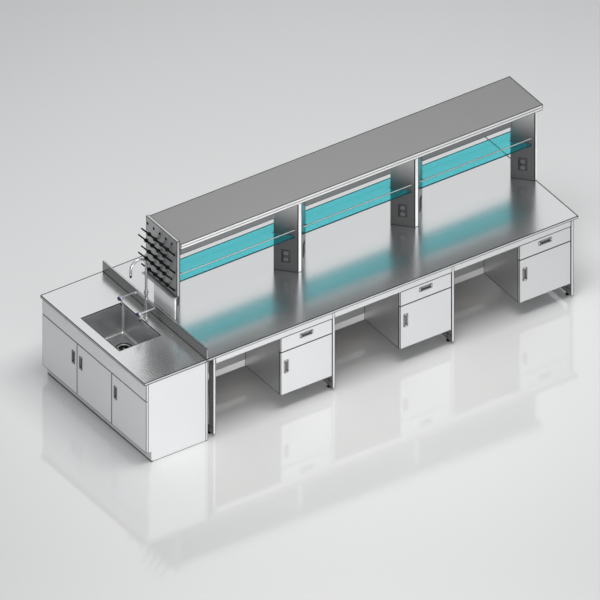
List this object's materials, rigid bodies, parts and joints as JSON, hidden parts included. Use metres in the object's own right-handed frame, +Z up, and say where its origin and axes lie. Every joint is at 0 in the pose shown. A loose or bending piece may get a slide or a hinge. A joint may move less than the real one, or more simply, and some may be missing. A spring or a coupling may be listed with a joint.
{
  "type": "laboratory bench",
  "caption": "Stainless steel island laboratory bench with a sink unit, hanging drawer cabinets, a reagent shelf with glass and a peg board",
  "frame": {"origin": "middle of the footprint, on the floor under the levelling feet", "axes": "X along the bench with the sink unit at -X, Y across it with the front at -Y, Z up"},
  "size_m": [4.22, 1.5, 1.6537],
  "materials": {
    "top_steel": "satin",
    "shelf_steel": "satin",
    "bowl_steel": "satin",
    "cabinet_steel": "satin",
    "front_steel": "satin",
    "frame_steel": "satin",
    "carcass_steel": "satin",
    "runner_steel": "satin",
    "column_steel": "satin",
    "board_steel": "satin",
    "rail_steel": "satin",
    "tap_chrome": "polished",
    "strainer_metal": "satin",
    "waste_plastic": "matte",
    "black_plastic": "matte",
    "knob_plastic": "gloss",
    "peg_plastic": "matte",
    "socket_plastic": "matte",
    "pull_plastic": "matte",
    "foot_rubber": "matte",
    "shelf_glass": "polished",
    "core_board": "matte"
  },
  "bodies": {
    "bench": {"sink_cabinet": "cabinet_steel", "sink_counter": "top_steel", "core_boards": "core_board", "sink_bowl": "bowl_steel", "sink_waste": "waste_plastic", "tap_body": "tap_chrome", "side_tips": "black_plastic", "worktop": "top_steel", "leg_frames": "frame_steel", "levelling_feet": "foot_rubber", "bench_rails": "frame_steel", "service_panels": "carcass_steel", "front_carcasses": "carcass_steel", "rear_carcasses": "carcass_steel", "drawer_runners": "runner_steel", "hinge_pins": "runner_steel", "shelf_columns": "column_steel", "top_shelf": "shelf_steel", "spine_panel": "carcass_steel", "glass_shelves": "shelf_glass", "guard_rails": "rail_steel", "socket_outlets": "socket_plastic", "pegboard": "board_steel", "pegs": "peg_plastic", "drip_trough": "board_steel"},
    "sink_leaf_1": {"sink_door_1": "front_steel", "sink_pull_1": "pull_plastic"},
    "sink_leaf_2": {"sink_door_2": "front_steel", "sink_pull_2": "pull_plastic"},
    "sink_leaf_3": {"sink_door_3": "front_steel", "sink_pull_3": "pull_plastic"},
    "cabinet_leaf_1": {"door_1": "front_steel", "door_pull_1": "pull_plastic"},
    "cabinet_leaf_2": {"door_2": "front_steel", "door_pull_2": "pull_plastic"},
    "cabinet_leaf_3": {"door_3": "front_steel", "door_pull_3": "pull_plastic"},
    "cabinet_leaf_4": {"door_4": "front_steel", "door_pull_4": "pull_plastic"},
    "cabinet_leaf_5": {"door_5": "front_steel", "door_pull_5": "pull_plastic"},
    "cabinet_leaf_6": {"door_6": "front_steel", "door_pull_6": "pull_plastic"},
    "drawer_unit_1": {"drawer_1": "front_steel", "drawer_pull_1": "pull_plastic"},
    "drawer_unit_2": {"drawer_2": "front_steel", "drawer_pull_2": "pull_plastic"},
    "drawer_unit_3": {"drawer_3": "front_steel", "drawer_pull_3": "pull_plastic"},
    "drawer_unit_4": {"drawer_4": "front_steel", "drawer_pull_4": "pull_plastic"},
    "drawer_unit_5": {"drawer_5": "front_steel", "drawer_pull_5": "pull_plastic"},
    "drawer_unit_6": {"drawer_6": "front_steel", "drawer_pull_6": "pull_plastic"},
    "spout": {"tap_gooseneck": "tap_chrome", "gooseneck_tip": "black_plastic"},
    "valve_knob_left": {"tap_knob_left": "knob_plastic"},
    "valve_knob_right": {"tap_knob_right": "knob_plastic"},
    "strainer": {"basket_strainer": "strainer_metal"}
  },
  "joints": [
    {"name": "sink_door_1_hinge", "type": "hinge", "parent": "bench", "child": "sink_leaf_1", "pos_m": [-2.084, 0.74, 0.38], "axis": [0, 0, -1], "range_deg": [0, 110]},
    {"name": "sink_door_2_hinge", "type": "hinge", "parent": "bench", "child": "sink_leaf_2", "pos_m": [-2.084, -0.24033, 0.38], "axis": [0, 0, 1], "range_deg": [0, 110]},
    {"name": "sink_door_3_hinge", "type": "hinge", "parent": "bench", "child": "sink_leaf_3", "pos_m": [-2.084, -0.74, 0.38], "axis": [0, 0, 1], "range_deg": [0, 110]},
    {"name": "door_1_hinge", "type": "hinge", "parent": "bench", "child": "cabinet_leaf_1", "pos_m": [-0.28153, -0.729, 0.345], "axis": [0, 0, 1], "range_deg": [0, 110]},
    {"name": "door_2_hinge", "type": "hinge", "parent": "bench", "child": "cabinet_leaf_2", "pos_m": [0.87813, -0.729, 0.345], "axis": [0, 0, 1], "range_deg": [0, 110]},
    {"name": "door_3_hinge", "type": "hinge", "parent": "bench", "child": "cabinet_leaf_3", "pos_m": [2.0378, -0.729, 0.345], "axis": [0, 0, 1], "range_deg": [0, 110]},
    {"name": "door_4_hinge", "type": "hinge", "parent": "bench", "child": "cabinet_leaf_4", "pos_m": [0.92553, 0.729, 0.345], "axis": [0, 0, 1], "range_deg": [0, 110]},
    {"name": "door_5_hinge", "type": "hinge", "parent": "bench", "child": "cabinet_leaf_5", "pos_m": [-0.23413, 0.729, 0.345], "axis": [0, 0, 1], "range_deg": [0, 110]},
    {"name": "door_6_hinge", "type": "hinge", "parent": "bench", "child": "cabinet_leaf_6", "pos_m": [-1.3938, 0.729, 0.345], "axis": [0, 0, 1], "range_deg": [0, 110]},
    {"name": "drawer_1_slide", "type": "slide", "parent": "bench", "child": "drawer_unit_1", "axis": [0, -1, 0], "range_m": [0, 0.38]},
    {"name": "drawer_2_slide", "type": "slide", "parent": "bench", "child": "drawer_unit_2", "axis": [0, -1, 0], "range_m": [0, 0.38]},
    {"name": "drawer_3_slide", "type": "slide", "parent": "bench", "child": "drawer_unit_3", "axis": [0, -1, 0], "range_m": [0, 0.38]},
    {"name": "drawer_4_slide", "type": "slide", "parent": "bench", "child": "drawer_unit_4", "axis": [0, 1, 0], "range_m": [0, 0.38]},
    {"name": "drawer_5_slide", "type": "slide", "parent": "bench", "child": "drawer_unit_5", "axis": [0, 1, 0], "range_m": [0, 0.38]},
    {"name": "drawer_6_slide", "type": "slide", "parent": "bench", "child": "drawer_unit_6", "axis": [0, 1, 0], "range_m": [0, 0.38]},
    {"name": "spout_swivel", "type": "hinge", "parent": "bench", "child": "spout", "pos_m": [-1.5732, 0.02, 1.05], "axis": [0, 0, 1], "range_deg": [-25, 35]},
    {"name": "knob_left_turn", "type": "hinge", "parent": "bench", "child": "valve_knob_left", "pos_m": [-1.7452, 0.155, 0.9682], "axis": [-1, 0, 0], "range_deg": [0, 270]},
    {"name": "knob_right_turn", "type": "hinge", "parent": "bench", "child": "valve_knob_right", "pos_m": [-1.7452, -0.115, 0.9682], "axis": [-1, 0, 0], "range_deg": [0, 270]},
    {"name": "strainer_lift", "type": "slide", "parent": "bench", "child": "strainer", "axis": [0, 0, 1], "range_m": [0, 0.34]}
  ]
}
